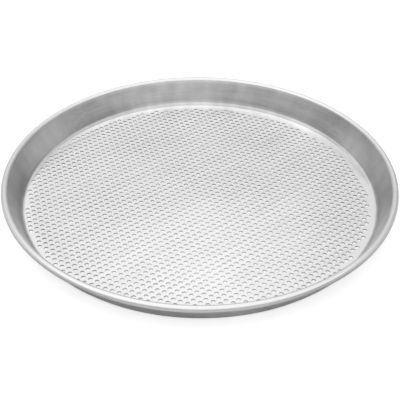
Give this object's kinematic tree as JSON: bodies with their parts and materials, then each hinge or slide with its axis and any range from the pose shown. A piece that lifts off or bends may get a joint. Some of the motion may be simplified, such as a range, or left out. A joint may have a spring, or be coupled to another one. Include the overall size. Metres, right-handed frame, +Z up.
{
  "type": "pizza pan",
  "caption": "Round shallow pizza pan with a flat perforated floor, a flared wall and a rim rolled over a wire, for baking a crisp crust.",
  "frame": {"origin": "centre of the underside of the floor, on the surface that the pan stands on", "axes": "+Z up along the pan's axis, +Y away from the viewer, +X to the viewer's right"},
  "size_m": [0.4, 0.3998, 0.029],
  "materials": {
    "pan_sheet": "satin",
    "rim_wire": "drawn"
  },
  "bodies": {
    "root": {"perforated_floor": "pan_sheet", "side_wall": "pan_sheet", "rolled_rim": "pan_sheet", "rim_wire": "rim_wire"}
  },
  "joints": []
}
